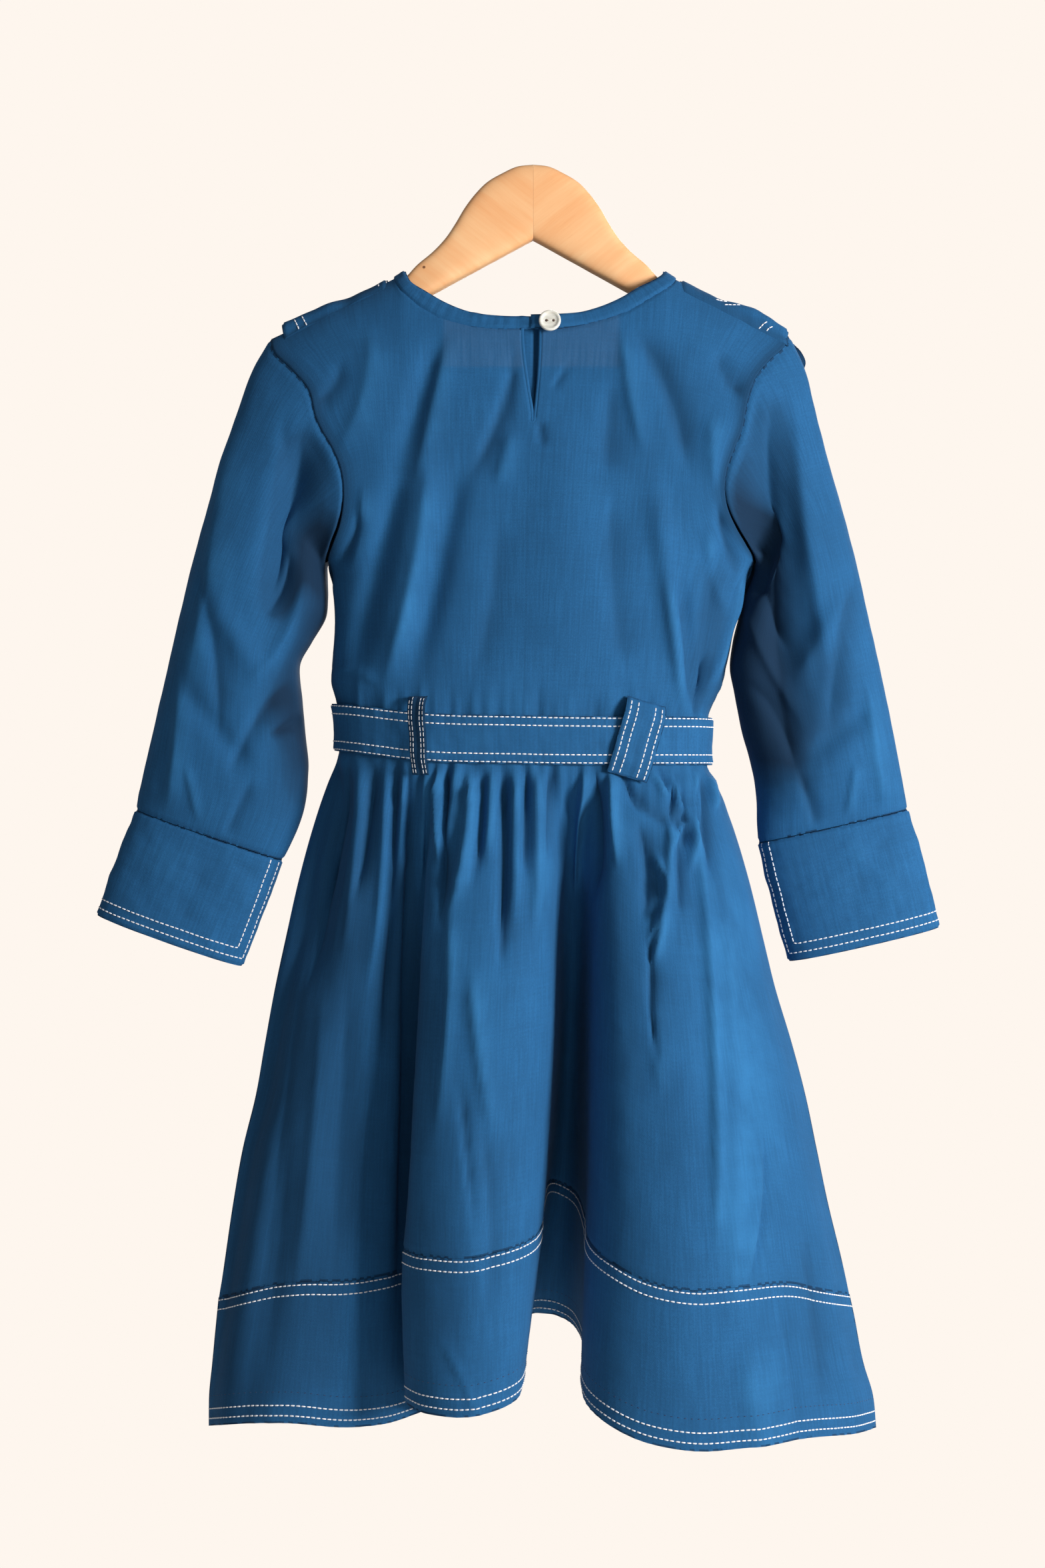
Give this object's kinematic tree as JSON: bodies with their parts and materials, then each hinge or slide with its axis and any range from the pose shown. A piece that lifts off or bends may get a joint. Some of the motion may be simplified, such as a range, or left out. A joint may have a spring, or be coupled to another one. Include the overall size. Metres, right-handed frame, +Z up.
{
  "type": "child's denim dress on a hanger",
  "caption": "Long-sleeved child's dress in light blue denim with white topstitching, buttoned at the back neck, hanging on a wooden hanger",
  "frame": {"origin": "the middle of the hanger's top edge, where it is held", "axes": "+Z is up; the buttoned back of the dress faces -Y; +X is to the right as the back is seen"},
  "size_m": [0.4865, 0.2103, 0.7247],
  "materials": {
    "denim": "soft washed plain-weave denim, blue with paler weft, white topstitching",
    "facing": "the same denim, its darker inner side",
    "wood": "pale orange varnished wood",
    "button": "ivory plastic"
  },
  "bodies": {
    "root": {"hanger_left": "wood", "hanger_right": "wood", "bodice_back": "denim", "bodice_front": "denim", "neck_band": "denim", "facing_left": "facing", "facing_right": "facing", "slit_placket": "facing", "button": "button", "flap_left": "denim", "flap_right": "denim", "sleeve_left": "denim", "sleeve_right": "denim", "cuff_left": "denim", "cuff_right": "denim", "belt": "denim", "loop_left": "denim", "loop_right": "denim", "skirt_back": "denim", "skirt_front": "denim", "hem_back": "denim", "hem_front": "denim"}
  },
  "joints": []
}
